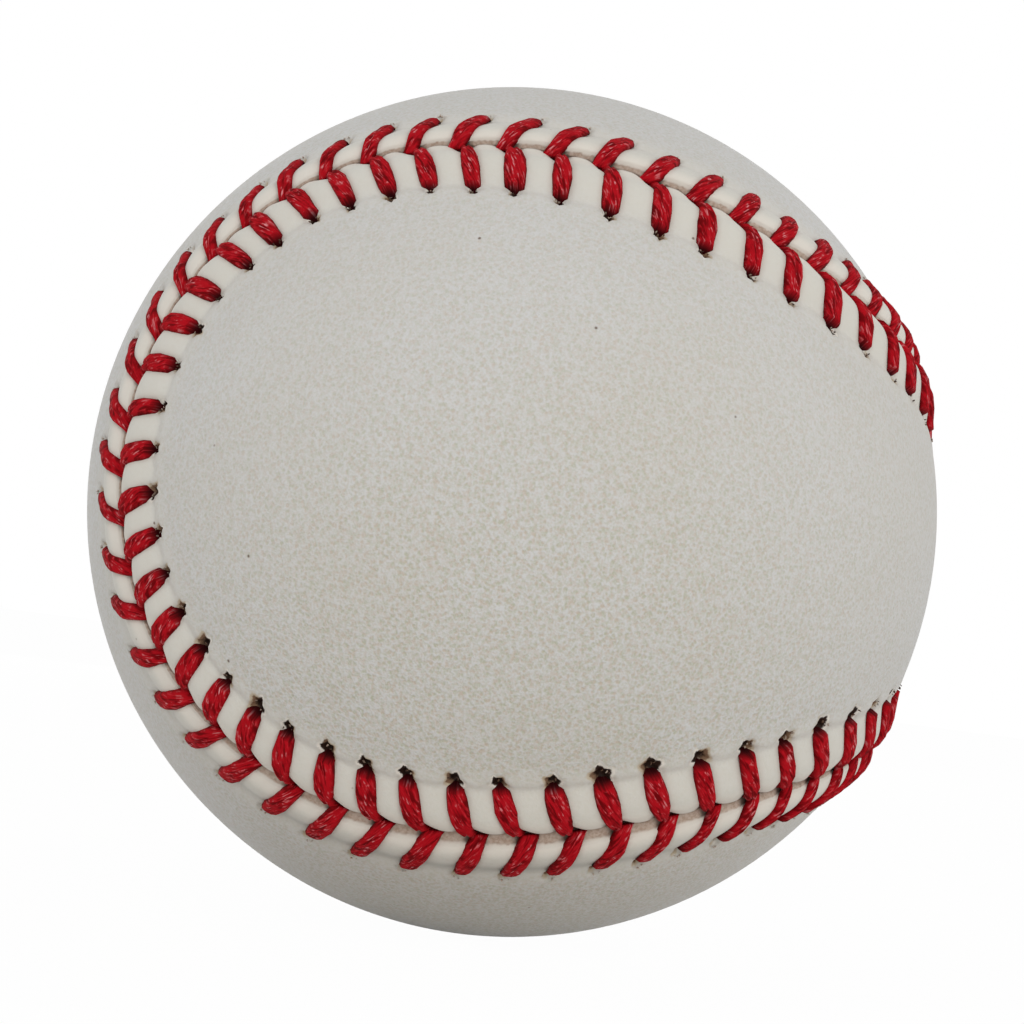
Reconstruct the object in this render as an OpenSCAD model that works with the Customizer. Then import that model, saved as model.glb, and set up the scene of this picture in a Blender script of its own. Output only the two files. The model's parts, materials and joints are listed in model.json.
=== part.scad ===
// A stitched leather ball for baseball, with its cushioned cork core and its four windings.
// The origin is the ball's centre. The front panel's lobes face -Y and +Y, and its neck faces +X.
// The back panel's lobes face +Z and -Z, and its neck faces -X.

/* [Core] */
// Diameter of the cork and rubber centre
cork_d = 20.6; // [12:0.1:26]
// Thickness of the two black rubber half shells
black_rubber_t = 4; // [2:0.1:8]
// Thickness of each of the two red washers that seal the joint of the half shells
washer_t = 0.5; // [0.3:0.1:2]
// Thickness of the red rubber moulded over the half shells
red_rubber_t = 2.4; // [1:0.1:6]
// Thickness of the cement that holds the first yarn
cement_t = 0.15; // [0.1:0.05:0.5]

/* [Windings] */
// Thickness of the first winding, of thick grey wool
first_winding_t = 14.3; // [6:0.1:20]
// Thickness of the second winding, of white wool
second_winding_t = 1.75; // [0.8:0.05:5]
// Thickness of the third winding, of grey wool
third_winding_t = 2.25; // [0.8:0.05:5]
// Thickness of the finishing winding, of fine white cotton
finishing_winding_t = 0.45; // [0.3:0.05:2]

/* [Cover] */
// Thickness of the adhesive under the leather
adhesive_t = 0.1; // [0.1:0.01:0.4]
// Thickness of the leather
leather_t = 1.1; // [0.9:0.05:2.5]
// Gap between the edges of the two panels
seam_gap = 0.5; // [0.2:0.05:1]
// How strongly the seam swings in at the necks
seam_swing_share = 0.516; // [0.4:0.002:0.56]
// How far the seam reaches towards the necks
seam_reach_share = 1.11; // [0.95:0.01:1.3]

/* [Stitches] */
// Number of stitches round the seam
stitch_count = 108; // [72:4:120]
// Diameter of the waxed thread
thread_d = 1.2; // [0.8:0.05:1.4]
// Distance of the stitch holes from the seam line
hole_reach = 5.1; // [4:0.1:6]
// How far the stitch holes lie behind their stitch, along the seam
hole_lag = 1.7; // [1:0.1:2]
// How far the front panel's thread enters the seam behind its stitch
front_foot_lag = 0.3; // [0:0.1:0.8]
// How far ahead of the front panel's thread the back panel's one enters the seam
foot_stagger = 1.4; // [1.4:0.1:2]
// Distance from the seam line to the thread's end at the seam
foot_reach = 0.3; // [0.2:0.05:0.6]
// How far the thread sinks into the leather at the middle of a stitch
thread_bite = 0.1; // [0:0.05:0.3]

/* [Hidden] */

// Clearance between one layer and the next
layer_gap = 0.02;
// Clearance of the thread in its holes
thread_gap = 0.05;
// Overrun of every cut
cut_over = 1;
// Angle from a panel's neck to the end of its middle line
middle_line_reach = 96;
// Radius of the panel cutter as a share of the ball's
cutter_share = 1.6;
// Steps of the table that turns a length along the seam into the angle that draws it
table_steps = 720;
$fn = 96;

// Radii of the layers, from the centre outwards
cork_r = cork_d / 2;
black_rubber_r = cork_r + layer_gap + black_rubber_t;
red_rubber_r = black_rubber_r + layer_gap + red_rubber_t;
cement_r = red_rubber_r + layer_gap + cement_t;
first_winding_r = cement_r + layer_gap + first_winding_t;
second_winding_r = first_winding_r + layer_gap + second_winding_t;
third_winding_r = second_winding_r + layer_gap + third_winding_t;
finishing_winding_r = third_winding_r + layer_gap + finishing_winding_t;
adhesive_r = finishing_winding_r + layer_gap + adhesive_t;
ball_r = adhesive_r + layer_gap + leather_t;
thread_r = thread_d / 2;
// The thread's ends stop inside the leather
thread_dip = leather_t - thread_r;

function unit(v) = v / norm(v);

// The seam as directions from the centre: one closed line that parts the ball into two equal halves,
// each shaped like a figure of eight. At 0 it is at the front panel's neck, and at 90 at its lobe's tip.
function seam_direction(a) = unit([
  seam_reach_share * cos(2 * a),
  -sin(a) - seam_swing_share * sin(3 * a),
  cos(a) - seam_swing_share * cos(3 * a)
]);

// Length along the seam on a ball of radius 1, against the angle that draws it
table_step = 360 / table_steps;
seam_table = [
  for (
    i = 0, s = 0;
    i <= table_steps;
    s = s + norm(seam_direction((i + 1) * table_step) - seam_direction(i * table_step)), i = i + 1
  ) [s, i * table_step]
];
seam_length = seam_table[table_steps][0];
seam_mm = seam_length * ball_r;
pitch = seam_mm / stitch_count;
function seam_angle(mm) = lookup((mm - floor(mm / seam_mm) * seam_mm) / ball_r, seam_table);

// A direction at a seam angle, moved off the line to its left, which is the front panel's side
function along(a) = unit(seam_direction(a + table_step) - seam_direction(a - table_step));
function off_seam(a, off) =
  let (p = seam_direction(a), left = unit(cross(p, along(a))), turn = off / ball_r * 180 / PI)
  p * cos(turn) + left * sin(turn);

// The same by length along the seam, and the place of each stitch; half a pitch keeps both panels alike
function cover_direction(mm, off) = off_seam(seam_angle(mm), off);
function stitch_mm(i) = (i + 1 / 2) * pitch;

// One round layer
module layer(inner_r, outer_r) {
  difference() {
    sphere(outer_r);
    sphere(inner_r);
  }
}

// A slice of the black rubber's space, between two heights above the joint, or below it if side is -1
module shell_slice(side, from, to) {
  wide = black_rubber_r + cut_over;
  intersection() {
    layer(cork_r + layer_gap, black_rubber_r);
    translate([-wide, -wide, side > 0 ? from : -to])
      cube([2 * wide, 2 * wide, to - from]);
  }
}
module black_rubber_half(side) { shell_slice(side, washer_t + layer_gap, black_rubber_r + cut_over); }
module washer(side) { shell_slice(side, layer_gap / 2, washer_t); }

// All the directions that one panel covers, as a solid cone from the centre to beyond the leather;
// side is 1 for the front panel and -1 for the back one, here and below
module panel_cutter(side) {
  n = stitch_count;
  quarter = n / 4;
  start = side > 0 ? 0 : quarter;
  far = ball_r * cutter_share;
  // The middle line runs from lobe to lobe through the neck, and each of its points serves both edges
  function middle(k) =
    let (turn = middle_line_reach * sin(k * 90 / quarter))
    side > 0 ? [cos(turn), -sin(turn), 0] : [-cos(turn), 0, -sin(turn)];
  function middle_index(i) = n + quarter + (i <= quarter ? i : i <= 3 * quarter ? n / 2 - i : i - n);
  edge = [for (i = [0:n - 1]) off_seam((i + start) * 360 / n, side * seam_gap / 2) * far];
  spine = [for (k = [-quarter:quarter]) middle(k) * far];
  centre = n + len(spine);
  faces = [
    for (i = [0:n - 1])
      let (j = (i + 1) % n, mi = middle_index(i), mj = middle_index(j))
      each [[i, j, centre], [j, i, mi], [j, mi, mj]]
  ];
  polyhedron(
    concat(edge, spine, [[0, 0, 0]]),
    side > 0 ? faces : [for (f = faces) [f[0], f[2], f[1]]]
  );
}

// One stitch: thread bent in an arc over the leather, from its hole to the seam, with both ends dipping in
module stitch(hole, foot, radius) {
  middle = unit(hole + foot);
  across = unit(hole - foot);
  turn_axis = cross(across, middle);
  end_r = ball_r - thread_dip;
  top_r = ball_r + thread_r - thread_bite;
  half_span = end_r * norm(hole - foot) / 2;
  rise = top_r - end_r * norm(hole + foot) / 2;
  bend_r = (half_span * half_span + rise * rise) / (2 * rise);
  bend = asin(half_span / bend_r);
  at = middle * (top_r - bend_r);
  multmatrix([
    [across[0], middle[0], turn_axis[0], at[0]],
    [across[1], middle[1], turn_axis[1], at[1]],
    [across[2], middle[2], turn_axis[2], at[2]],
    [0, 0, 0, 1]
  ])
    rotate([0, 0, 90 - bend])
      rotate_extrude(angle = 2 * bend)
        translate([bend_r, 0])
          circle(radius);
}

// All the stitches that lie on one panel
module stitches(side, radius) {
  foot_shift = (side > 0 ? 0 : foot_stagger) - front_foot_lag;
  for (i = [0:stitch_count - 1])
    stitch(
      cover_direction(stitch_mm(i) - hole_lag, side * hole_reach),
      cover_direction(stitch_mm(i) + foot_shift, side * foot_reach),
      radius
    );
}

// One piece of leather, with the holes and the beds of its stitches
module cover_panel(side) {
  difference() {
    intersection() {
      layer(adhesive_r + layer_gap, ball_r);
      panel_cutter(side);
    }
    stitches(side, thread_r + thread_gap);
  }
}

module cork_core() { color("peru") sphere(cork_r); }
module black_rubber_shell_upper() { color([0.08, 0.08, 0.08]) black_rubber_half(1); }
module black_rubber_shell_lower() { color([0.08, 0.08, 0.08]) black_rubber_half(-1); }
module red_rubber_washer_upper() { color("firebrick") washer(1); }
module red_rubber_washer_lower() { color("firebrick") washer(-1); }
module red_rubber_jacket() { color("firebrick") layer(black_rubber_r + layer_gap, red_rubber_r); }
module core_cement() { color("wheat") layer(red_rubber_r + layer_gap, cement_r); }
module first_winding_grey_wool() { color("gray") layer(cement_r + layer_gap, first_winding_r); }
module second_winding_white_wool() { color("whitesmoke") layer(first_winding_r + layer_gap, second_winding_r); }
module third_winding_grey_wool() { color("darkgray") layer(second_winding_r + layer_gap, third_winding_r); }
module finishing_winding_cotton() { color("white") layer(third_winding_r + layer_gap, finishing_winding_r); }
module cover_adhesive() { color("wheat") layer(finishing_winding_r + layer_gap, adhesive_r); }
module cover_panel_front() { color([0.82, 0.81, 0.77]) cover_panel(1); }
module cover_panel_back() { color([0.82, 0.81, 0.77]) cover_panel(-1); }
module stitches_front_panel() { color([0.7, 0.02, 0.08]) stitches(1, thread_r); }
module stitches_back_panel() { color([0.7, 0.02, 0.08]) stitches(-1, thread_r); }

cork_core();
black_rubber_shell_upper();
black_rubber_shell_lower();
red_rubber_washer_upper();
red_rubber_washer_lower();
red_rubber_jacket();
core_cement();
first_winding_grey_wool();
second_winding_white_wool();
third_winding_grey_wool();
finishing_winding_cotton();
cover_adhesive();
cover_panel_front();
cover_panel_back();
stitches_front_panel();
stitches_back_panel();
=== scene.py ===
# %% [markdown]
# # A stitched leather ball
# The ball is a core, four windings of yarn and a cover: two figure-of-eight pieces of leather that one
# long seam joins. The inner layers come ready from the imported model, called the frame here. The leather
# and the thread are made new below, because their small forms, the raised seam, the torn holes and the
# two-ply stitches, are what the eye looks for.

# %% load the frame
import json
import math

import bpy
import numpy as np
from mathutils import Matrix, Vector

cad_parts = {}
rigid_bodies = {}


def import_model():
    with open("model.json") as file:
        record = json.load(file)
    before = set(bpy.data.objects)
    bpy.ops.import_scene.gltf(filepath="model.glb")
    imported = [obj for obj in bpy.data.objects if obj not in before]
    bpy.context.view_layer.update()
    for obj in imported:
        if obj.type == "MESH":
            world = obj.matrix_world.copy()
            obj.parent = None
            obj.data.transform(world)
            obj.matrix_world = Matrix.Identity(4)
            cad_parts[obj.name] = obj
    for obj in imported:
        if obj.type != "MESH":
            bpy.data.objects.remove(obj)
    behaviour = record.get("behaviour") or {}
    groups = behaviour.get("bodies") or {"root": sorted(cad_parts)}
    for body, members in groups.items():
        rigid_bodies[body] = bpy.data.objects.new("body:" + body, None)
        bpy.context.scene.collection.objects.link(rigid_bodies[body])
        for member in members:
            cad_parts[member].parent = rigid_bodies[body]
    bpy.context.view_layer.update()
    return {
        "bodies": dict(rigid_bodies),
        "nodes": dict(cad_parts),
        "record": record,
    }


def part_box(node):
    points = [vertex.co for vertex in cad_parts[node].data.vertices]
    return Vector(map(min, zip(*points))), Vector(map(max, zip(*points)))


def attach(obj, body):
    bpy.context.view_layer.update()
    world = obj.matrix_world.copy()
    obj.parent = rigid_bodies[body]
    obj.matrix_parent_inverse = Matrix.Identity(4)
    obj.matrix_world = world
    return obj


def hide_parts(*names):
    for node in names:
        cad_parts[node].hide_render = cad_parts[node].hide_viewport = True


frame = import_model()
print("nodes of the frame:", sorted(frame["nodes"]))

# %% [markdown]
# ## Sizes
# The leather's outer and inner radius are read from the frame, so the new surfaces sit where the solids
# sit. The seam's two shares, the number of stitches and the distance of their holes from the seam are
# those of the construction. The shifts say how far along the seam a stitch's hole and its foot lie from
# the stitch's own place. All lengths in this file are in millimetres until the last step of a mesh, which
# turns them into metres.

# %% sizes of the cover and the stitches
METRES_PER_MM = 0.001
BALL_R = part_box("cover_panel_front")[1][0] / METRES_PER_MM
FLESH_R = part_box("cover_adhesive")[1][0] / METRES_PER_MM
SEAM_SWING_SHARE = 0.516
SEAM_REACH_SHARE = 1.11
STITCHES = 108
HOLE_REACH = 5.1
FRONT, BACK = 1, -1
HOLE_SHIFT = {FRONT: -1.47, BACK: -1.2}
FOOT_SHIFT = {FRONT: -0.1, BACK: 0.6}
print(f"leather from {FLESH_R:.2f} to {BALL_R:.2f} mm, circumference {2 * math.pi * BALL_R:.1f} mm")

# %% [markdown]
# ## Camera
# The photograph looks straight at one lobe of the front panel from a little below the middle, with the
# camera turned a few degrees. A camera is a place and three directions, so its matrix is written from the
# directions that point right, up and back in the picture. The distance is in radii of the ball, and the
# lens follows from how large the ball's outline is in a picture of 1024 pixels.

# %% camera
IMAGE_PX = 1024
OUTLINE_RADIUS_PX = 425
SENSOR_MM = 36
CAMERA_DISTANCE_RADII = 5.074
CAMERA_RIGHT = (0.977, -0.1707, 0.1275)
CAMERA_BACK = (-0.1628, -0.9842, -0.0699)
NEAREST_SEEN = 0.005


def unit(vectors):
    """Each vector divided by its own length."""
    return vectors / np.linalg.norm(vectors, axis=-1, keepdims=True)


def axes_matrix(right, up, back, place):
    """Matrix of an object at a place, with the directions of its own three axes."""
    return Matrix([[right[i], up[i], back[i], place[i]] for i in range(3)] + [[0, 0, 0, 1]])


def make_camera():
    """Right, up and back are made square to each other; lens = focal length in pixels x sensor / image."""
    back = unit(np.array(CAMERA_BACK))
    up = unit(np.cross(back, np.array(CAMERA_RIGHT)))
    right = np.cross(up, back)
    place = back * CAMERA_DISTANCE_RADII * BALL_R * METRES_PER_MM
    data = bpy.data.cameras.new("camera")
    data.sensor_width = SENSOR_MM
    focal_px = OUTLINE_RADIUS_PX * math.sqrt(CAMERA_DISTANCE_RADII ** 2 - 1)
    data.lens = focal_px * SENSOR_MM / IMAGE_PX
    data.clip_start = NEAREST_SEEN
    camera = bpy.data.objects.new("camera", data)
    camera.matrix_world = axes_matrix(right, up, back, place)
    bpy.context.scene.collection.objects.link(camera)
    bpy.context.scene.camera = camera
    return camera


camera = make_camera()
print(f"lens {camera.data.lens:.1f} mm at {CAMERA_DISTANCE_RADII * BALL_R:.0f} mm from the ball's centre")

# %% [markdown]
# ## The seam as a curve
# The seam of a real ball is the edge of two identical pieces of leather. A short formula draws such a line
# on a ball: two waves give it its swing between the lobes and the necks. Stitches are spaced evenly along
# it, so a table turns a length along the seam into the angle that the formula needs. A ball that is sewn
# by hand is never quite even, so the seam wanders up to a millimetre from the formula and the stitches
# drift a little along it. Both are sums of a few swells, each with a size, a place and a width.

# %% seam curve
SEAM_SAMPLES = 14400
SEAM_WANDER = (
    (0.4, 32, 30), (0.95, 57, 19), (0.35, 130, 25), (-0.7, 188, 20), (0.4, 265, 35), (-0.4, 340, 30),
)
STITCH_DRIFT = (
    (0.3, 42, 30), (0.33, 63, 9), (-0.25, 92, 16), (-0.15, 160, 12), (-0.85, 186, 26), (0.4, 265, 35),
)


def seam_direction(angle):
    """Direction from the centre: (reach cos 2a, -sin a - swing sin 3a, cos a - swing cos 3a), made unit."""
    return unit(np.stack([
        SEAM_REACH_SHARE * np.cos(2 * angle),
        -np.sin(angle) - SEAM_SWING_SHARE * np.sin(3 * angle),
        np.cos(angle) - SEAM_SWING_SHARE * np.cos(3 * angle),
    ], axis=-1))


seam_angles = np.linspace(0, 2 * math.pi, SEAM_SAMPLES + 1)
seam_points = seam_direction(seam_angles)
seam_steps = np.linalg.norm(np.diff(seam_points, axis=0), axis=1)
seam_lengths = np.concatenate([[0], np.cumsum(seam_steps)]) * BALL_R
SEAM_MM = seam_lengths[-1]
PITCH = SEAM_MM / STITCHES


def bell(value, width):
    """Bell curve: e to the power of minus the square of value over width."""
    return np.exp(-(value / width) ** 2)


def swells(along, rows):
    """Sum of bell curves at places on the seam's closed length, each of its own size and width."""
    return sum(size * bell((along - place + SEAM_MM / 2) % SEAM_MM - SEAM_MM / 2, width)
               for size, place, width in rows)


def on_cover(along, off, height=0.0):
    """Point at a length along the seam, an arc off to its left (the front panel's side), and a height.

    With P the seam's direction, T its tangent and N = P x T, the direction is P cos(off / R) +
    N sin(off / R), and the point lies at the ball's radius plus the height. The wander adds to off.
    """
    angle = np.interp(np.mod(along, SEAM_MM), seam_lengths, seam_angles)
    small = 2 * math.pi / SEAM_SAMPLES
    p = seam_direction(angle)
    tangent = unit(seam_direction(angle + small) - seam_direction(angle - small))
    left = np.cross(p, tangent)
    turn = np.asarray((off + swells(along, SEAM_WANDER)) / BALL_R)[..., None]
    return (p * np.cos(turn) + left * np.sin(turn)) * (BALL_R + np.asarray(height)[..., None])


print(f"seam {SEAM_MM:.1f} mm long, {STITCHES} stitches {PITCH:.2f} mm apart")

# %% [markdown]
# ## Each stitch is a little different
# Hands sew the cover, so no two stitches are quite alike. Each one gets its own small offsets from a
# seeded draw, and slow swells are added to them, because on some stretches all holes lie nearer to the
# seam, or the thread lies flatter and wider. Both the thread and the leather under it use the same
# numbers, so that every strand still goes into its own hole. The needle leaves a tan flap of leather at
# one side of each hole, in the back panel always the same side.

# %% small differences between stitches
rng = np.random.default_rng(108)


def draw_stitches():
    """One panel's stitches: offsets of hole, foot, bend and height, shares of width, and the holes' rims."""
    return {
        "hole_along": rng.normal(0, 0.11, STITCHES),
        "hole_off": rng.normal(0, 0.12, STITCHES),
        "foot_along": rng.normal(0, 0.09, STITCHES),
        "width": rng.normal(1, 0.06, STITCHES),
        "bend": rng.normal(0, 0.048, STITCHES),
        "hole_share": rng.uniform(0.8, 1.25, STITCHES),
        "height": rng.normal(0, 0.04, STITCHES),
        "tan_side": rng.choice([-1.0, 1.0], STITCHES),
        "rim_turn": rng.uniform(0, 2 * math.pi, STITCHES),
    }


SEWN_SWELLS = {
    FRONT: {
        "hole_along": ((0.2, 75, 8), (0.3, 168, 8)),
        "hole_off": ((-0.62, 111, 27), (-0.3, 26, 8)),
        "width": ((0.2, 122, 24),),
    },
    BACK: {
        "hole_along": ((-0.6, 30, 6), (0.35, 66, 12), (-0.38, 101, 20), (-0.3, 136, 12), (-0.2, 168, 6)),
        "hole_off": ((0.5, 92, 14), (-0.3, 152, 16), (-0.8, 175, 9), (-0.25, 42, 12)),
        "width": ((-0.22, 82, 26), (0.1, 38, 12), (-0.25, 176, 12)),
    },
}
sewn = {side: draw_stitches() for side in (FRONT, BACK)}
sewn[BACK]["tan_side"][:] = -1.0
stitch_places = (np.arange(STITCHES) + 0.5) * PITCH
for side, drawn in SEWN_SWELLS.items():
    for key, rows in drawn.items():
        sewn[side][key] += swells(stitch_places, rows)
BEND_POWER = {FRONT: 0.62, BACK: 0.76}
LAST_SHARE = 1.3


def arm_line(side, stitch, share):
    """Length along the seam of a stitch's middle line, at a share 0 to 1 of the way from seam to hole.

    The front panel's stitches bend near the seam and run straight into the hole; the back panel's bend
    less. The bend is share to the power of a number under 1.
    """
    draw = sewn[side]
    foot = FOOT_SHIFT[side] + draw["foot_along"][stitch]
    hole = HOLE_SHIFT[side] + draw["hole_along"][stitch]
    power = BEND_POWER[side] + draw["bend"][stitch]
    place = (stitch + 0.5) * PITCH
    return place + swells(place, STITCH_DRIFT) + foot + (hole - foot) * share ** power


def nearest_arm(side, along, off):
    """For points of the leather: the nearest stitch, the distance from its line, and past its hole."""
    share = np.clip(off / HOLE_REACH, 0, LAST_SHARE)
    lean = FOOT_SHIFT[side] + (HOLE_SHIFT[side] - FOOT_SHIFT[side]) * share + swells(along, STITCH_DRIFT)
    stitch = np.round((along - lean) / PITCH - 0.5).astype(int)
    wrapped = np.mod(stitch, STITCHES)
    across = along - (arm_line(side, wrapped, share) + (stitch - wrapped) * PITCH)
    hole_off = HOLE_REACH + sewn[side]["hole_off"][wrapped]
    return wrapped, across, off - hole_off


print(f"holes {HOLE_REACH} mm from the seam, {-HOLE_SHIFT[FRONT]} mm behind their stitch")

# %% [markdown]
# ## The ridge beside the seam
# The thread pulls both edges of the leather up into a low ridge, with the seam in its valley. Everything
# that lifts or presses the leather is a height over the two seam coordinates, so it can be worked out for
# whole arrays at once. The ridge is the first part of that height.

# %% ridge
RIDGE_H = 0.74
RIDGE_EDGE_SHARE = 0.38
RIDGE_TOP = 1.8
RIDGE_FALL = 1.9
RIDGE_FOOT = 4.9


def smooth_step(value, start, end):
    """0 before start, 1 after end, and the curve 3t^2 - 2t^3 between them."""
    t = np.clip((value - start) / (end - start), 0, 1)
    return t * t * (3 - 2 * t)


def ridge_height(off):
    """Height of the ridge beside the seam: it rises to its top and falls until the holes."""
    rise = RIDGE_EDGE_SHARE + (1 - RIDGE_EDGE_SHARE) * smooth_step(off, 0, RIDGE_TOP)
    return RIDGE_H * rise * (1 - smooth_step(off, RIDGE_FALL, RIDGE_FOOT))


print(f"the ridge stands {RIDGE_H} mm over the ball's face")

# %% [markdown]
# ## The holes
# The needle tore some holes more than others, and along two stretches of the seam the leather was pulled
# harder, so the holes there are larger. In the front panel a torn pit shows past the end of each thread.
# The back panel's holes are smaller and lie at one corner of the thread's end, so little of them shows.
# A hole is a distance from its middle, counted in half sizes of the hole, with 1 at its rim. Both the
# relief and the leather's material use that distance.

# %% holes
HOLE_HALF_ALONG = 0.44
HOLE_HALF_OFF = 0.58
HOLE_PAST = {FRONT: 0.4, BACK: 1.0}
HOLE_BESIDE = {FRONT: 0.0, BACK: -0.42}
HOLE_SHARE = {FRONT: 1.0, BACK: 0.6}
TORN_MOST_AT = 150.0
TORN_LEAST_SHARE = 0.62
RIM_LOBES = 5
LOBE_SHARE = 0.15


def hole_size(side, stitch):
    """Size of a hole as a share: its own draw times a wave along the seam, largest where it tore most."""
    turn = 4 * math.pi * (stitch * PITCH - TORN_MOST_AT) / SEAM_MM
    torn = (1 + TORN_LEAST_SHARE) / 2 + (1 - TORN_LEAST_SHARE) / 2 * np.cos(turn)
    return torn * HOLE_SHARE[side] * sewn[side]["hole_share"][stitch]


def hole_distance(side, stitch, across, past_hole):
    """Distance from a hole's middle in half sizes, made a little more or less by the rim's ragged lobes."""
    size = hole_size(side, stitch)
    x = (across - HOLE_BESIDE[side]) / (HOLE_HALF_ALONG * size)
    y = (past_hole - HOLE_PAST[side] * size) / (HOLE_HALF_OFF * size)
    lobes = LOBE_SHARE * np.sin(RIM_LOBES * np.arctan2(y, x) + sewn[side]["rim_turn"][stitch])
    return np.hypot(x, y) * (1 + lobes)


front_holes = 2 * HOLE_HALF_OFF * hole_size(FRONT, np.arange(STITCHES))
print(f"the front panel's holes are {front_holes.min():.2f} to {front_holes.max():.2f} mm long")

# %% [markdown]
# ## The leather's relief
# Between two stitches the leather swells like a small pillow, because the thread presses it down beside
# the pillow, most of all at the thread's foot. At the thread's other end the leather is drawn into the
# hole, whose far lip stands up, and a shallow crease runs from hole to hole. The cut edge is rounded.

# %% relief of the leather
STITCH_HALF_W = 0.85
PRESSED = 0.32
PRESS_END = (-0.2, 0.5)
FOOT_ZONE = (0.4, 1.7)
FOOT_PRESSED = {FRONT: 0.3, BACK: 0.08}
FOOT_BESIDE = {FRONT: 0.22, BACK: 0.0}
HOLE_DEPTH = 1.05
HOLE_WALL = 1.1
LIP_H = 0.13
LIP_PAST = 0.95
LIP_SQUEEZE = 0.8
LIP_WIDTH = 0.42
CREASE_DEPTH = 0.16
CREASE_OFF = 4.7
CREASE_WIDTH = 0.5
CREASE_BREAK = 1.2
EDGE_ROUND = {FRONT: 0.5, BACK: 0.2}
EDGE_DROP_SHARE = 0.8


def relief(side, along, off, from_edge):
    """Height over the ball's face: ridge - press under the thread - hole + lip - crease - round edge."""
    stitch, across, past_hole = nearest_arm(side, along, off)
    in_stitches = 1 - smooth_step(past_hole, *PRESS_END)
    near_foot = 1 - smooth_step(off, *FOOT_ZONE)
    sunk = PRESSED + FOOT_PRESSED[side] * near_foot
    pressed = sunk * bell(across - FOOT_BESIDE[side] * near_foot, STITCH_HALF_W) * in_stitches
    hole = HOLE_DEPTH * bell(hole_distance(side, stitch, across, past_hole), HOLE_WALL)
    lip_gap = np.hypot((across - HOLE_BESIDE[side]) * LIP_SQUEEZE, past_hole - LIP_PAST)
    lip = LIP_H * bell(lip_gap, LIP_WIDTH)
    crease = CREASE_DEPTH * bell(off - CREASE_OFF, CREASE_WIDTH) * (1 - bell(across, CREASE_BREAK))
    corner = EDGE_ROUND[side]
    drop = 1 - np.sqrt(np.clip(1 - (1 - np.clip(from_edge / corner, 0, 1)) ** 2, 0, 1))
    return ridge_height(off) - pressed - hole + lip - crease - corner * EDGE_DROP_SHARE * drop


print(f"the thread presses the leather down by {PRESSED} mm")

# %% [markdown]
# ## The two cut edges
# Where the seam runs straight the two pieces of leather meet closely, and where it swings from one bend
# into the other they stand a little apart, so that the sloped, fibrous cut of the lower edge can be seen.
# Both edges are scalloped: each stitch pulls its own spot away from the seam. The front panel's edge also
# swells to one side and the other along the seam, and the cut under it follows. The cut's tones go from
# pale tan at its top to dark brown deep down, and the dark brown is painted shade in the narrow gap.
# Where the seam is tight this painted shade starts at the top, and where the front edge stands back
# more of it is pale, painted as lit where the gap opens.

# %% cut edges
GAP_TIGHT = 0.48
GAP_WIDE = 0.9
CUT_STEP_SHARES = np.array([0.18, 0.42, 0.7, 0.85, 1.0])
# The cut's row tones: the higher ones turn dark brown, painted shade deep in the gap.
CUT_TONES_AND_SHADE = {FRONT: (0.55, 0.65, 0.8, 0.95, 1.0), BACK: (0.32, 0.86, 1.0, 1.0, 1.0)}
EDGE_SWELLS = ((-0.4, 58, 20), (0.38, 150, 24), (-0.2, 262, 24), (0.3, 354, 24))
FRONT_EDGE_OFF = -0.05
PULLED_BACK = {FRONT: 0.42, BACK: 0.16}
PULLED_WIDTH = 0.8
UNDERCUT = 0.25
LEDGE_ROWS = 3
LEDGE_OFF = 0.1
LEDGE_DEPTH = 0.36
CUT_ROUGHNESS = 0.035


def wide_share(along):
    """0 where the seam is tight, 1 where the edges stand apart: a wave with four crests, squared."""
    return (0.5 - 0.5 * np.cos(8 * math.pi * along / SEAM_MM)) ** 2


def edge_place(side, along):
    """How far the leather's cut edge lies from the seam line."""
    _, across, _ = nearest_arm(side, along, np.zeros_like(along))
    pulled = PULLED_BACK[side] * bell(across, PULLED_WIDTH)
    if side == FRONT:
        return FRONT_EDGE_OFF + swells(along, EDGE_SWELLS) + pulled
    return GAP_TIGHT + (GAP_WIDE - GAP_TIGHT) * wide_share(along) + pulled


def cut_face(side, along, edge, edge_height):
    """Rows of (off, height) from the edge down to the flesh side.

    The front panel's cut leans back under its edge. The back panel's slopes out to a ledge in the first
    rows and then drops, because this edge was skived thin before it was sewn. Both are a little rough.
    """
    floor = FLESH_R - BALL_R
    share = CUT_STEP_SHARES[:, None]
    if side == FRONT:
        off = edge + UNDERCUT * share
        height = edge_height + (floor - edge_height) * share
    else:
        slope = np.clip(np.arange(1, len(CUT_STEP_SHARES) + 1) / LEDGE_ROWS, 0, 1)[:, None]
        ledge_end = CUT_STEP_SHARES[LEDGE_ROWS - 1]
        ledge = edge_height * (1 - slope) - LEDGE_DEPTH * slope
        steep = np.clip((share - ledge_end) / (1 - ledge_end), 0, 1)
        under_front = LEDGE_OFF - swells(along, EDGE_SWELLS)
        off = edge + (under_front - edge) * slope
        height = ledge + (floor + LEDGE_DEPTH) * steep
    rough = rng.normal(0, CUT_ROUGHNESS, off.shape) * np.where(share < 1, 1, 0)
    return off + rough, height + rough


print(f"the edges stand {GAP_TIGHT} to {GAP_WIDE} mm apart")

# %% [markdown]
# ## A panel as a grid
# Near the seam the grid follows the seam itself: columns at even lengths along it, rows at growing
# distances from the edge, dense where the holes are. Inside, where the surface is plain, every fourth
# column goes on and runs to the panel's middle line. The middle line's points serve both edges, so the
# surface closes there. The same way back, under the leather, gives the flesh side and the cut edge.

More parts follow.
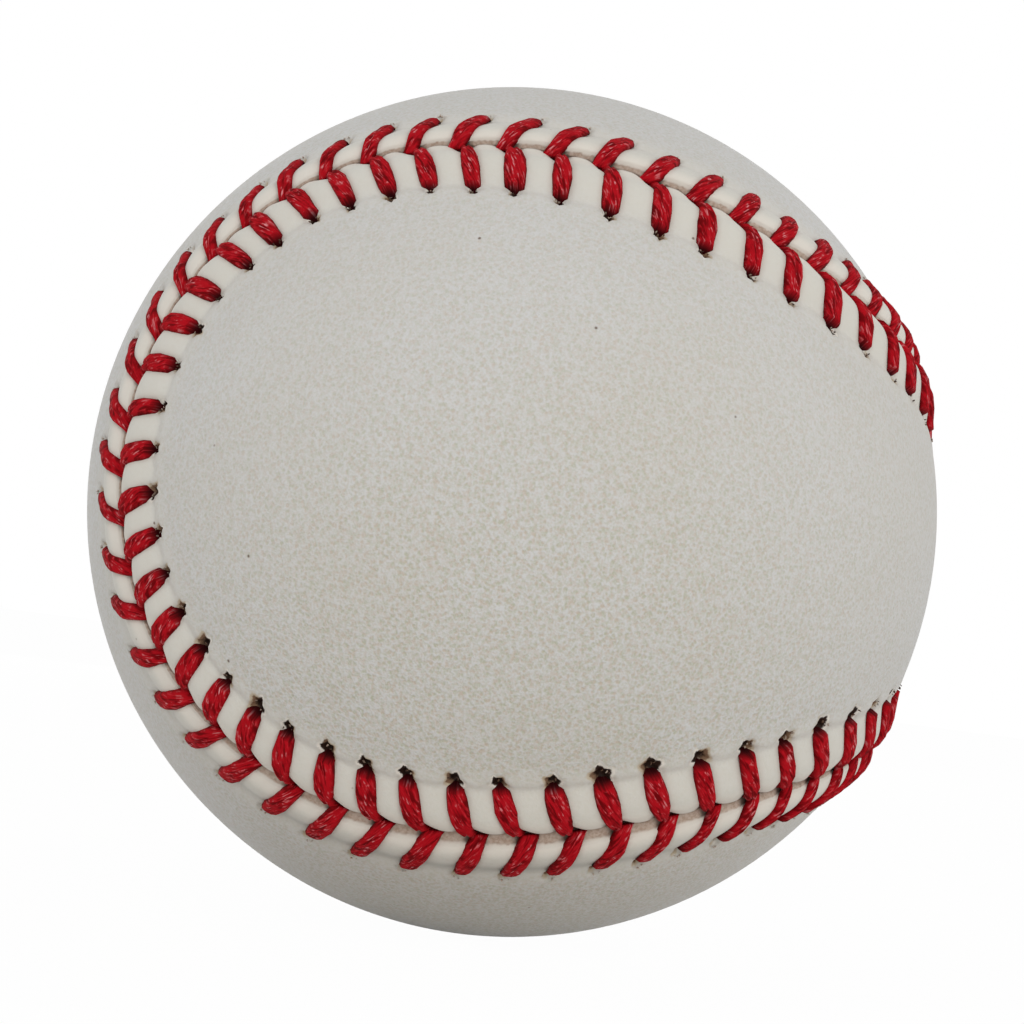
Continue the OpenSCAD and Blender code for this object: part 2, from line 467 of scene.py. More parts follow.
# %% grid of a panel
COLUMNS_PER_STITCH = 16
COARSE = 4
FINE_COLUMNS = STITCHES * COLUMNS_PER_STITCH
COARSE_COLUMNS = FINE_COLUMNS // COARSE
RELIEF_END = 6.2
SEAM_ZONE = 8.6
ROWS_FROM_EDGE = np.concatenate([
    np.array([0, 0.04, 0.12, 0.24, 0.42, 0.66]),
    np.arange(0.95, 4.0, 0.31),
    np.arange(4.1, 6.1, 0.155),
    np.linspace(6.4, SEAM_ZONE, 5),
])
INNER_ROWS = 20
FLESH_ROWS = 10
CUT_ROWS = len(CUT_STEP_SHARES)
MIDDLE_REACH = math.radians(96)


def rows_to_quads(first, rows, columns):
    """Quads of a closed band of rows: each joins a point, the next one, and the two above them."""
    r, c = np.meshgrid(np.arange(rows - 1), np.arange(columns), indexing="ij")
    n = (c + 1) % columns
    base = first + r * columns
    return np.stack([base + c, base + n, base + columns + n, base + columns + c], -1).reshape(-1, 4)


def fan(fine_first, coarse_first, flip=False):
    """Triangles from a row of fine columns to a row with a quarter of them: five for each coarse step."""
    c = np.arange(COARSE_COLUMNS)
    f = [fine_first + (COARSE * c + k) % FINE_COLUMNS for k in range(COARSE + 1)]
    low, high = coarse_first + c, coarse_first + (c + 1) % COARSE_COLUMNS
    tris = [(f[0], f[1], low), (f[1], f[2], low), (f[2], high, low), (f[2], f[3], high), (f[3], f[4], high)]
    out = np.concatenate([np.stack(t, -1) for t in tris])
    return out[:, ::-1] if flip else out


def middle_index(columns):
    """Index of the middle line's point that each column ends on; both edges count the same points."""
    quarter = columns // 4
    i = np.arange(columns)
    k = np.where(i <= quarter, i, np.where(i <= 3 * quarter, columns // 2 - i, i - columns))
    return k + quarter


def middle_line(side, columns):
    """Directions along the panel's middle: through the neck, from the end of one lobe to the other's."""
    quarter = columns // 4
    turn = MIDDLE_REACH * np.sin(np.arange(-quarter, quarter + 1) / quarter * math.pi / 2)
    zero = np.zeros_like(turn)
    if side == FRONT:
        return np.stack([np.cos(turn), -np.sin(turn), zero], -1)
    return np.stack([-np.cos(turn), zero, -np.sin(turn)], -1)


def to_middle(start, side, rows, radius):
    """Rows of great-circle steps from a row of directions to the middle line, at one radius.

    Between A and M, an angle w apart, the step at share t is (A sin((1-t)w) + M sin(tw)) / sin w.
    """
    line = middle_line(side, len(start))
    ends = line[middle_index(len(start))]
    a = unit(start)
    w = np.arccos(np.clip((a * ends).sum(-1), -1, 1))[None, :, None]
    t = (np.arange(1, rows + 1) / (rows + 1))[:, None, None]
    steps = (a * np.sin((1 - t) * w) + ends * np.sin(t * w)) / np.sin(w)
    return unit(steps).reshape(-1, 3) * radius, line * radius


print(f"{len(ROWS_FROM_EDGE)} rows near the seam, {FINE_COLUMNS} columns round it")

# %% [markdown]
# ## Torn fibres round the holes
# A needle and a thick waxed thread tear the rim of each hole, and little flaps and spikes of leather stand
# round it. A spike is a thin three-sided cone that bends from the rim over the hole. All spikes of a
# panel are one array: a place on the hole's rim, a direction, a length and a lift for each.

# %% torn fibres
FIBRES = 3
FIBRE_STEPS = np.array([0.0, 0.4, 0.75])
FIBRE_SIDES = 3
FIBRE_TAPER = np.array([1.0, 0.75, 0.45])
FIBRE_LENGTHS = (0.15, 0.34)
FIBRE_LIFTS = (0.02, 0.16)
FIBRE_RADII = (0.05, 0.11)
FIBRE_FLOOR = 0.02
FIBRE_RISE = 0.04
FIBRE_LEANS = (1.0, 2.7)
FIBRE_RIM = (1.1, 1.15)
FIBRE_OFF_SHARE = 0.7
FIBRE_TONES = {FRONT: (0.75, 0.85, 1.0, 1.0), BACK: (0.15, 0.25, 0.4)}


def torn_fibres(side):
    """Points, quads and triangles of all spikes, three rings and a tip each, and a tone for each point.

    At a share of its length a spike stands floor + lift x sin(2.4 share) + rise x share over the face.
    """
    count = (STITCHES, FIBRES)
    stitch = np.repeat(np.arange(STITCHES), FIBRES).reshape(count)
    turn = rng.uniform(0.1, math.pi - 0.1, count)
    size = hole_size(side, stitch)
    across = HOLE_BESIDE[side] + HOLE_HALF_ALONG * size * np.cos(turn) * FIBRE_RIM[0]
    past = HOLE_PAST[side] * size + HOLE_HALF_OFF * size * np.sin(turn) * FIBRE_RIM[1]
    heading = turn + rng.choice([-1, 1], count) * rng.uniform(*FIBRE_LEANS, count)
    length = rng.uniform(*FIBRE_LENGTHS, count) * size
    lift = rng.uniform(*FIBRE_LIFTS, count)
    share = np.concatenate([FIBRE_STEPS, [1.0]])
    reach = length[..., None] * share
    hole_off = HOLE_REACH + sewn[side]["hole_off"][stitch]
    off = (hole_off + past)[..., None] + reach * np.sin(heading)[..., None] * FIBRE_OFF_SHARE
    line = arm_line(side, stitch, hole_off / HOLE_REACH)
    along = (line + across)[..., None] + reach * np.cos(heading)[..., None]
    height = FIBRE_FLOOR + lift[..., None] * np.sin(share * 2.4) + FIBRE_RISE * share
    centre = on_cover(along, side * off, height)
    tangent = unit(np.gradient(centre, axis=2))
    out = unit(centre)
    sideways = unit(np.cross(tangent, out))
    out = np.cross(sideways, tangent)
    radius = rng.uniform(*FIBRE_RADII, count)[..., None] * FIBRE_TAPER
    corner = np.arange(FIBRE_SIDES) / FIBRE_SIDES * 2 * math.pi
    rings = len(FIBRE_STEPS)
    ring = (sideways[:, :, :rings, None] * np.cos(corner)[:, None] +
            out[:, :, :rings, None] * np.sin(corner)[:, None])
    ring = centre[:, :, :rings, None] + ring * radius[..., None, None]
    each = rings * FIBRE_SIDES + 1
    spikes = STITCHES * FIBRES
    points = np.concatenate([ring.reshape(spikes, -1, 3), centre[:, :, -1].reshape(spikes, 1, 3)], 1)
    first = (np.arange(spikes) * each)[:, None, None]
    quads = (first + rows_to_quads(0, rings, FIBRE_SIDES)[None]).reshape(-1, 4)
    c = np.arange(FIBRE_SIDES)
    last = (rings - 1) * FIBRE_SIDES
    tip = np.stack([last + c, last + (c + 1) % FIBRE_SIDES, np.full(FIBRE_SIDES, each - 1)], -1)
    base = np.array([[2, 1, 0]])
    tris = (first + np.concatenate([tip, base])[None]).reshape(-1, 3)
    tones = np.repeat(rng.choice(FIBRE_TONES[side], spikes), each)
    return points.reshape(-1, 3), quads, tris, tones


print(f"{FIBRES} torn fibres at each of {2 * STITCHES} holes")

# %% [markdown]
# ## Making the two panels
# The surface is put together from its bands: the grain side near the seam, the grain side inside, the cut
# edge and the flesh side. Values go with it as attributes: the distances from the seam, from the nearest
# stitch and from the nearest hole, the side of the hole on which a point lies, a tone of the cut, 0 on the
# grain side and up to 1 down the cut edge, whose deep end is painted shade, and a painted shade on two
# stretches of the crease behind the back panel's ridge. The leather's material reads them to place dirt,
# painted shade, torn holes and stretched skin.
# The back panel's distances from a hole are a little more than the true ones, so that the dark pit
# of painted shade that the material lays there is smaller.

# %% panel builder
FAR = 20.0
FIBRE_SEAM_GAP = 5.0
PALE_HOLE = {FRONT: 0.0, BACK: 0.6}
# Painted shade at the top of the back panel's cut where the seam is tight.
TIGHT_GAP_SHADE = 0.52
# Painted shade: a grey on two stretches of the crease behind the back panel's ridge, where the slope is in
# shade.
CREASE_SHADE_SWELLS = ((1.0, 150, 26), (1.0, 354, 26))
CREASE_SHADE_OFF = 4.1
CREASE_SHADE_WIDTH = 0.95
CREASE_SHADE_SHARE = {FRONT: 0.0, BACK: 1.0}


def panel_points(side):
    """All points of a panel in order, with the values that its material reads."""
    start = 0 if side == FRONT else SEAM_MM / 4
    along = start + np.arange(FINE_COLUMNS) / FINE_COLUMNS * SEAM_MM
    edge = edge_place(side, along)
    from_edge = ROWS_FROM_EDGE[:, None]
    grid_along = np.broadcast_to(along, (len(ROWS_FROM_EDGE), FINE_COLUMNS))
    fade = 1 - smooth_step(from_edge, 0, SEAM_ZONE)
    off = from_edge + edge * fade + (1 - fade) * edge.mean()
    height = relief(side, grid_along, off, from_edge) * (1 - smooth_step(off, RELIEF_END, SEAM_ZONE))
    skin = on_cover(grid_along, side * off, height)
    inner, line = to_middle(skin[-1, ::COARSE], side, INNER_ROWS, BALL_R)
    cut_off, cut_height = cut_face(side, along, edge[None], height[:1])
    cut = on_cover(np.broadcast_to(along, cut_off.shape), side * cut_off, cut_height)
    flesh_start = unit(on_cover(along, side * cut_off[-1], cut_height[-1])[::COARSE])
    flesh, flesh_line = to_middle(flesh_start, side, FLESH_ROWS, FLESH_R)
    stitch, across, past_hole = nearest_arm(side, grid_along, off)
    hole = hole_distance(side, stitch, across, past_hole) + PALE_HOLE[side]
    beside = np.sin(2 * math.pi * across / PITCH) * sewn[side]["tan_side"][stitch]
    cut_tones_and_shade = np.repeat(np.array(CUT_TONES_AND_SHADE[side])[:, None], FINE_COLUMNS, axis=1)
    front_shift = swells(along, EDGE_SWELLS)
    # Painted shade in the back panel's cut: darker at its top where the seam is tight, paler where the front
    # edge stands back.
    if side == BACK:
        cut_tones_and_shade[0] += TIGHT_GAP_SHADE * (1 - wide_share(along))
        cut_tones_and_shade[1] -= np.clip(front_shift, 0, 1)
    seam_gap = off - front_shift if side == FRONT else off
    # Painted shade in the crease behind the back panel's ridge, on two stretches of the seam.
    painted_crease_shade = CREASE_SHADE_SHARE[side] * swells(grid_along, CREASE_SHADE_SWELLS) * bell(off - CREASE_SHADE_OFF, CREASE_SHADE_WIDTH)
    plain, flesh_count = len(inner) + len(line), len(flesh) + len(flesh_line)
    bands = {
        "seam_gap": (seam_gap, FAR, 0.0, FAR),
        "arm_gap": (np.abs(across), FAR, np.tile(np.abs(across[0]), CUT_ROWS), FAR),
        "hole_gap": (hole, FAR, FAR, FAR),
        "hole_side": (beside, 0.0, 0.0, 0.0),
        "raw_and_shade": (np.zeros_like(off), 0.0, cut_tones_and_shade.ravel(), 0.5),
        "painted_crease_shade": (painted_crease_shade, 0.0, 0.0, 0.0),
    }
    values = {
        name: np.concatenate([
            near.ravel(),
            np.full(plain, inside),
            np.zeros(cut_off.size) + at_cut,
            np.full(flesh_count, under),
        ]) for name, (near, inside, at_cut, under) in bands.items()
    }
    return [skin.reshape(-1, 3), inner, line, cut.reshape(-1, 3), flesh, flesh_line], values


def panel_faces(sizes):
    """Quads and triangles of a panel, from the number of points in each of its bands."""
    skin, inner, line, cut, flesh, _ = np.concatenate([[0], np.cumsum(sizes)])[:6]
    last_fine = skin + (len(ROWS_FROM_EDGE) - 1) * FINE_COLUMNS
    middle = middle_index(COARSE_COLUMNS)
    after = np.roll(middle, -1)

    def close(first, line_first):
        """The band between the last row and the middle line."""
        c = np.arange(COARSE_COLUMNS)
        n = (c + 1) % COARSE_COLUMNS
        return np.stack([first + c, first + n, line_first + after, line_first + middle], -1)

    last_inner = inner + (INNER_ROWS - 1) * COARSE_COLUMNS
    last_flesh = flesh + (FLESH_ROWS - 1) * COARSE_COLUMNS
    flesh_line = flesh + FLESH_ROWS * COARSE_COLUMNS
    c = np.arange(FINE_COLUMNS)
    n = (c + 1) % FINE_COLUMNS
    top_cut = np.stack([skin + n, skin + c, cut + c, cut + n], -1)
    quads = [
        rows_to_quads(skin, len(ROWS_FROM_EDGE), FINE_COLUMNS),
        rows_to_quads(inner, INNER_ROWS, COARSE_COLUMNS),
        close(last_inner, line),
        top_cut,
        rows_to_quads(cut, CUT_ROWS, FINE_COLUMNS)[:, ::-1],
        rows_to_quads(flesh, FLESH_ROWS, COARSE_COLUMNS)[:, ::-1],
        close(last_flesh, flesh_line)[:, ::-1],
    ]
    tris = [fan(last_fine, inner), fan(cut + (CUT_ROWS - 1) * FINE_COLUMNS, flesh, flip=True)]
    return np.concatenate(quads), np.concatenate(tris)


def make_mesh(name, points, faces):
    """A mesh object from points in millimetres and faces, shaded smooth."""
    mesh = bpy.data.meshes.new(name)
    mesh.from_pydata((points * METRES_PER_MM).tolist(), [], faces)
    mesh.polygons.foreach_set("use_smooth", np.ones(len(faces), dtype=bool))
    mesh.update()
    made = bpy.data.objects.new(name, mesh)
    bpy.context.scene.collection.objects.link(made)
    return made


def set_value(piece, name, values):
    """Stores one number per point on the mesh, for a material to read."""
    piece.data.attributes.new(name, "FLOAT", "POINT").data.foreach_set("value", values.astype(np.float32))


def make_panel(name, side):
    """One piece of leather: its bands joined, faces turned outwards, fibres added, values stored."""
    points, values = panel_points(side)
    quads, tris = panel_faces([len(p) for p in points])
    if side == BACK:
        quads, tris = quads[:, ::-1], tris[:, ::-1]
    first = sum(len(p) for p in points)
    spikes, spike_quads, spike_tris, tones = torn_fibres(side)
    faces = quads.tolist() + (spike_quads + first).tolist() + tris.tolist() + (spike_tris + first).tolist()
    panel = make_mesh(name, np.concatenate(points + [spikes]), faces)
    spike_values = dict.fromkeys(values, FAR)
    spike_values.update({"seam_gap": FIBRE_SEAM_GAP, "hole_side": 0.0, "raw_and_shade": tones, "painted_crease_shade": 0.0})
    for key, numbers in values.items():
        set_value(panel, key, np.concatenate([numbers, np.broadcast_to(spike_values[key], len(spikes))]))
    triangles = sum(len(f) - 2 for f in faces)
    print(f"{name}: {len(panel.data.vertices)} points, {triangles} triangles")
    return panel


panels = {FRONT: make_panel("leather_front", FRONT), BACK: make_panel("leather_back", BACK)}

# %% [markdown]
# ## The thread
# Each stitch shows as one flat waxed thread of two plies that comes up out of the seam, runs over the
# ridge of leather and dives into its hole. Pulled tight it is more of a ribbon than a cord, so its
# section is a low arch with a shallow groove between the plies, which closes towards the hole. The front
# panel's stitches start deep in the seam, under the back panel's, and are widest a little past their
# middle. The back panel's are wide from the start and end in a slant.

# %% stitches
STEPS = np.array([0, 0.08, 0.17, 0.29, 0.45, 0.63, 0.81, 0.95, 1.0])
TOP_PLACES = np.array([-1.0, -0.74, -0.38, 0.0, 0.38, 0.74, 1.0])
TOP_HEIGHT_SHARES = np.array([0.1, 0.78, 1.0, 0.76, 1.0, 0.78, 0.1])
SECTION_PLACES = np.append(TOP_PLACES, 0.0)
SECTION_HEIGHT_SHARES = np.append(TOP_HEIGHT_SHARES, -0.35)
MERGED_HEIGHT_SHARES = np.array([0.1, 0.7, 0.95, 1.04, 0.95, 0.7, 0.1, -0.35])
THREAD_H = 0.64
FOOT_START = {FRONT: -0.4, BACK: -0.12}
FOOT_DIVE = {FRONT: 0.75, BACK: 0.15}
HOLE_DIVE = 1.0
HOLE_END_PAST = -0.1
END_CORNERS = {FRONT: (-0.05, 0.05), BACK: (0.3, 0.08)}
CORNER_LIFT = {FRONT: 0.0, BACK: 0.12}
END_LIFT = {FRONT: 0.1, BACK: 0.14}
LIFT_ZONE = (0.4, 0.85)
HOLE_ZONE = (0.7, 1.0)
FOOT_SHARE = {FRONT: 0.2, BACK: 0.12}
FOOT_HALF_WIDTH = {FRONT: 0.46, BACK: 0.7}
WIDENS = {FRONT: (0.41, 0.03, 0.58), BACK: (0.16, 0.0, 0.45)}
NARROWS = {FRONT: (0.17, 0.62, 1.0), BACK: (0.08, 0.6, 1.0)}
WIDTH_SPREAD = 0.035
SUNK_HEIGHT_SHARE = 0.55
STITCH_RUN = 17.0


def half_width(side, t):
    """Half the thread's width at a share from foot to hole: the foot's, plus a smooth rise, less a fall."""
    rise, rise_start, rise_end = WIDENS[side]
    fall, fall_start, fall_end = NARROWS[side]
    wider = FOOT_HALF_WIDTH[side] + rise * smooth_step(t, rise_start, rise_end)
    return wider - fall * smooth_step(t, fall_start, fall_end)


def thread_sections(side):
    """Along, off and height of every section point of every stitch, and the share t from foot to hole.

    The middle line's height is the pressed leather's, falling below the face at both ends; a section
    point adds its place times half the width along the seam, and its share of the thread's height.
    """
    draw = sewn[side]
    stitch = np.arange(STITCHES)[:, None, None]
    t = np.broadcast_to(STEPS[None, :, None], (STITCHES, len(STEPS), 1))
    v = SECTION_PLACES[None, None, :]
    hole_off = HOLE_REACH + draw["hole_off"][stitch]
    off = FOOT_START[side] + (hole_off + HOLE_END_PAST - FOOT_START[side]) * t
    width = half_width(side, t) * draw["width"][stitch] * rng.normal(1, WIDTH_SPREAD, t.shape)
    along = arm_line(side, stitch, np.clip(off, 0, None) / HOLE_REACH) + v * width
    at_hole = smooth_step(t, *HOLE_ZONE)
    far, near = END_CORNERS[side]
    off = off + at_hole * (far * np.maximum(-v, 0) ** 2 - near * np.maximum(v, 0) ** 2)
    at_foot = 1 - smooth_step(t, 0.0, FOOT_SHARE[side])
    into_hole = smooth_step(t, STEPS[-2], 1.0)
    over = (1 - at_foot) * (1 - into_hole)
    lift = END_LIFT[side] * smooth_step(t, *LIFT_ZONE)
    ground = ridge_height(off) - PRESSED + draw["height"][stitch] + lift
    height = ground * over - FOOT_DIVE[side] * at_foot - HOLE_DIVE * into_hole
    shares = SECTION_HEIGHT_SHARES + (MERGED_HEIGHT_SHARES - SECTION_HEIGHT_SHARES) * at_hole
    height = height + THREAD_H * shares * (SUNK_HEIGHT_SHARE + (1 - SUNK_HEIGHT_SHARE) * over)
    height = height + CORNER_LIFT[side] * at_hole * np.maximum(-v, 0) ** 2
    return along, off, height, t, width


def make_stitches(name, side):
    """Joins the sections of each stitch into a closed skin with a cap at each end."""
    along, off, height, t, width = thread_sections(side)
    points = on_cover(along, side * off, height)
    shape = points.shape[:3]
    rings, sides = shape[1:]
    first = (np.arange(STITCHES) * rings * sides)[:, None]
    quads = (first[..., None] + rows_to_quads(0, rings, sides)[None]).reshape(-1, 4)
    start_cap = first + np.arange(sides)[None, ::-1]
    end_cap = first + (rings - 1) * sides + np.arange(sides)[None]
    faces = quads.tolist() + start_cap.tolist() + end_cap.tolist()
    if side == FRONT:
        faces = [face[::-1] for face in faces]
    piece = make_mesh(name, points.reshape(-1, 3), faces)
    run = t * (HOLE_REACH + HOLE_DIVE) + STITCH_RUN * np.arange(STITCHES)[:, None, None]
    place = np.broadcast_to(SECTION_PLACES, shape)
    set_value(piece, "run", np.broadcast_to(run, shape).ravel())
    set_value(piece, "across", (place * width).ravel())
    set_value(piece, "side_share", np.abs(place).ravel())
    set_value(piece, "end_share", np.broadcast_to(t, shape).ravel())
    print(f"{name}: {STITCHES} stitches of {(rings - 1) * sides + 2} faces")
    return piece


threads = {FRONT: make_stitches("thread_front", FRONT), BACK: make_stitches("thread_back", BACK)}

# %% [markdown]
# ## Materials
# A few helpers make node trees short to write. The first class adds nodes to any tree, and the second is
# a material, with the noise, masks and mixes that every finish needs.

# %% node helpers
class Nodes:
    """The node tree of a material or a world, emptied; its methods add nodes to it."""

    def __init__(self, owner):
        owner.use_nodes = True
        self.tree = owner.node_tree
        self.tree.nodes.clear()

    def add(self, kind, **settings):
        node = self.tree.nodes.new(kind)
        for key, value in settings.items():
            setattr(node, key, value)
        return node

    def feed(self, socket, value):
        if isinstance(value, bpy.types.NodeSocket):
            self.tree.links.new(value, socket)
        else:
            socket.default_value = value

    def math(self, operation, a, b=0.0, c=0.0):
        node = self.add("ShaderNodeMath", operation=operation)
        for socket, value in zip(node.inputs, (a, b, c)):
            self.feed(socket, value)
        return node.outputs[0]

    def times(self, *values):
        """Product of several values."""
        product = values[0]
        for value in values[1:]:
            product = self.math("MULTIPLY", product, value)
        return product


class Finish(Nodes):
    """A material under construction; its methods add nodes and return their output sockets."""

    def __init__(self, name):
        self.material = bpy.data.materials.new(name)
        super().__init__(self.material)
        self.shader = self.add("ShaderNodeBsdfPrincipled")
        output = self.add("ShaderNodeOutputMaterial")
        self.feed(output.inputs["Surface"], self.shader.outputs[0])
        self.place = self.scaled(self.add("ShaderNodeTexCoord").outputs["Object"], 1 / METRES_PER_MM)

    def scaled(self, vector, factor):
        node = self.add("ShaderNodeVectorMath", operation="SCALE")
        self.feed(node.inputs[0], vector)
        node.inputs["Scale"].default_value = factor
        return node.outputs[0]

    def distance_to(self, point_mm):
        node = self.add("ShaderNodeVectorMath", operation="DISTANCE")
        self.feed(node.inputs[0], self.place)
        node.inputs[1].default_value = point_mm
        return node.outputs["Value"]

    def value(self, name):
        return self.add("ShaderNodeAttribute", attribute_name=name).outputs["Fac"]

    def noise(self, per_mm, detail=2.0, roughness=0.5, place=None, stretch=None):
        """Noise with a number of lumps per millimetre, about 0 to 1."""
        node = self.add("ShaderNodeTexNoise")
        where = self.place if place is None else place
        if stretch is not None:
            mapping = self.add("ShaderNodeVectorMath", operation="MULTIPLY")
            self.feed(mapping.inputs[0], where)
            mapping.inputs[1].default_value = stretch
            where = mapping.outputs[0]
        self.feed(node.inputs["Vector"], where)
        node.inputs["Scale"].default_value = per_mm
        node.inputs["Detail"].default_value = detail
        node.inputs["Roughness"].default_value = roughness
        return node.outputs["Fac"]

    def warped(self, per_mm, reach_mm):
        """The place, pushed about by noise, so that a regular pattern on it looks grown."""
        wave = self.add("ShaderNodeTexNoise")
        self.feed(wave.inputs["Vector"], self.place)
        wave.inputs["Scale"].default_value = per_mm
        push = self.add("ShaderNodeVectorMath", operation="ADD")
        self.feed(push.inputs[0], self.place)
        self.feed(push.inputs[1], self.scaled(wave.outputs["Color"], reach_mm))
        return push.outputs[0]

    def cells(self, per_mm, place=None):
        """Random cells: a node that gives the distance from a cell's middle, and the cell's own colour."""
        node = self.add("ShaderNodeTexVoronoi")
        self.feed(node.inputs["Vector"], self.place if place is None else place)
        node.inputs["Scale"].default_value = per_mm
        return node

    def dots(self, per_mm, radius_mm, chance, place=None):
        """Soft dots in a share of random cells: how strongly a point lies in one."""
        cell = self.cells(per_mm, place)
        split = self.add("ShaderNodeSeparateColor")
        self.feed(split.inputs[0], cell.outputs["Color"])
        inside = self.ramp(cell.outputs["Distance"], radius_mm * per_mm, 0.3 * radius_mm * per_mm)
        return self.times(inside, self.ramp(split.outputs["Red"], 1 - chance, 1.2 - chance))

    def ramp(self, value, start, end, low=0.0, high=1.0):
        """Goes smoothly from low to high as value goes from start to end."""
        node = self.add("ShaderNodeMapRange", interpolation_type="SMOOTHSTEP")
        self.feed(node.inputs["Value"], value)
        for key, number in zip(("From Min", "From Max", "To Min", "To Max"), (start, end, low, high)):
            node.inputs[key].default_value = number
        return node.outputs["Result"]

    def mix(self, factor, first, second):
        """Colour between first and second."""
        node = self.add("ShaderNodeMix", data_type="RGBA")
        self.feed(node.inputs[0], factor)
        self.feed(node.inputs[6], first)
        self.feed(node.inputs[7], second)
        return node.outputs[2]

    def bump(self, height, depth_mm, normal=None):
        """Normals of a surface that stands up by height times a depth, on top of another bump's."""
        node = self.add("ShaderNodeBump")
        self.feed(node.inputs["Height"], height)
        node.inputs["Distance"].default_value = depth_mm * METRES_PER_MM
        if normal is not None:
            self.feed(node.inputs["Normal"], normal)
        return node.outputs[0]

    def set(self, **inputs):
        for key, value in inputs.items():
            self.feed(self.shader.inputs[key.replace("_", " ")], value)


def tone(red, green, blue):
    """A colour as the eye reads it, 0 to 255, turned into the linear values that a shader works with."""
    share = np.array([red, green, blue]) / 255
    linear = np.where(share <= 0.04045, share / 12.92, ((share + 0.055) / 1.055) ** 2.4)
    return (*linear.tolist(), 1.0)


# %% [markdown]
# ## Leather finish
# White tanned cowhide is off-white with fine pores under half a millimetre apart, each tinted olive or
# pink, in a paler net of skin. The hide is coarser towards one end of the front lobe. A few darker specks
# and stains remain from the living skin. Near the seam the skin is stretched, so it is smoother and
# creamier, with a painted highlight on its rounded rim, and dirt and painted shade along its edge and
# beside the thread. Where the thread goes down into the seam lies a near-black painted shade, and two
# stretches of the crease behind the back panel's ridge get a grey painted shade. The cut edge and the
# flesh side are tan and fibrous, with painted shade deep in the cut, and the holes are painted dark as
# shade, with torn pale rims. Pores are colour and bump in the material, being too small for a mesh.
# A band below is a pair of distances from the seam in millimetres, or from a hole's middle in half sizes:
# the finish starts to show at the first and is full at the second.

# %% leather material
PORES_PER_MM = 2.7
COARSE_HIDE_AT = (-2.6, -32.4, -17.6)
COARSE_REACH = (42.0, 8.0)
STRETCHED_BAND = (7.5, 3.5)
# Band of the painted highlight along the leather's rounded rim beside the seam.
RIM_HIGHLIGHT_BAND = (2.1, 1.1)
# Band of dirt and painted shade at the leather's very edge in the seam.
EDGE_DIRT_AND_SHADE_BAND = (0.5, 0.0)
FLAP_BAND = (2.1, 1.65)
RIM_BAND = (2.2, 1.6)
# Band of the hole's pit, painted dark as shade.
PIT_SHADE_BAND = (1.6, 1.35)
PIT_WALL_BAND = (0.7, 1.15)


def grain_side(m, stretched):
    """Colour of the grain side and the height of its pores."""
    dots = m.ramp(m.cells(PORES_PER_MM).outputs["Distance"], 0.7, 0.22)
    loose = m.ramp(m.noise(2 * PORES_PER_MM, 1.0, 0.5), 0.32, 0.68)
    pores = m.math("ADD", m.times(dots, 0.5), m.times(loose, 0.5))
    coarse = m.ramp(m.distance_to(COARSE_HIDE_AT), *COARSE_REACH, 0.52, 1.0)
    strength = m.times(pores, coarse, m.ramp(stretched, 0.0, 1.0, 1.0, 0.4))
    base = m.mix(m.ramp(m.noise(0.05, 3.0), 0.3, 0.7), tone(206, 206, 206), tone(204, 203, 201))
    pinkish = m.ramp(m.noise(3.4, 1.0), 0.38, 0.62)
    pore_tone = m.mix(pinkish, tone(172, 173, 145), tone(187, 170, 149))
    base = m.mix(m.times(strength, 0.74), base, pore_tone)
    base = m.mix(m.times(stretched, 0.65), base, tone(213, 210, 199))
    specks = m.dots(0.3, 0.17, 0.6)
    base = m.mix(m.times(specks, 0.85), base, tone(98, 76, 62))
    stain = m.dots(0.055, 2.2, 0.4, m.warped(0.5, 2.0))
    base = m.mix(m.times(stain, 0.12), base, tone(188, 160, 120))
    return base, strength, specks


def cut_side(m, base, raw_and_shade):
    """Lays the cut edge over the grain side: pale tan and fibrous at its top, dark brown deep down as
    painted shade.
    """
    fibres = m.ramp(m.noise(4.0, 2.0, 0.6), 0.3, 0.7)
    tan = m.mix(fibres, tone(196, 179, 165), tone(172, 150, 134))
    brown = m.mix(fibres, tone(96, 72, 56), tone(48, 32, 26))
    base = m.mix(m.ramp(raw_and_shade, 0.0, 0.4), base, tan)
    return m.mix(m.ramp(raw_and_shade, 0.6, 1.0), base, brown)


def torn_holes(m, base, hole, beside):
    """Lays holes painted dark as shade, with ragged rims: tan flaps on one side, pale ones on the other."""
    ragged = m.math("ADD", hole, m.times(m.math("SUBTRACT", m.noise(3.2, 3.0, 0.75), 0.5), 0.7))
    one_side = m.math("ADD", m.times(beside, 0.35), m.noise(0.9, 1.0))
    flap = m.times(m.ramp(ragged, *FLAP_BAND), m.ramp(one_side, 0.45, 0.72))
    base = m.mix(m.times(flap, 0.7), base, tone(184, 164, 132))
    rim = m.times(m.ramp(ragged, *RIM_BAND), m.ramp(one_side, 0.58, 0.42))
    base = m.mix(m.times(rim, 0.85), base, tone(236, 231, 222))
    # Painted shade: each hole's pit is near-black, with a paler brown wall on one side.
    pit_shade = m.mix(m.noise(3.0, 2.0), tone(14, 8, 6), tone(56, 34, 24))
    wall = m.times(m.ramp(ragged, *PIT_WALL_BAND), m.ramp(one_side, 0.45, 0.65))
    pit_shade = m.mix(wall, pit_shade, tone(132, 104, 82))
    return m.mix(m.ramp(ragged, *PIT_SHADE_BAND), base, pit_shade)


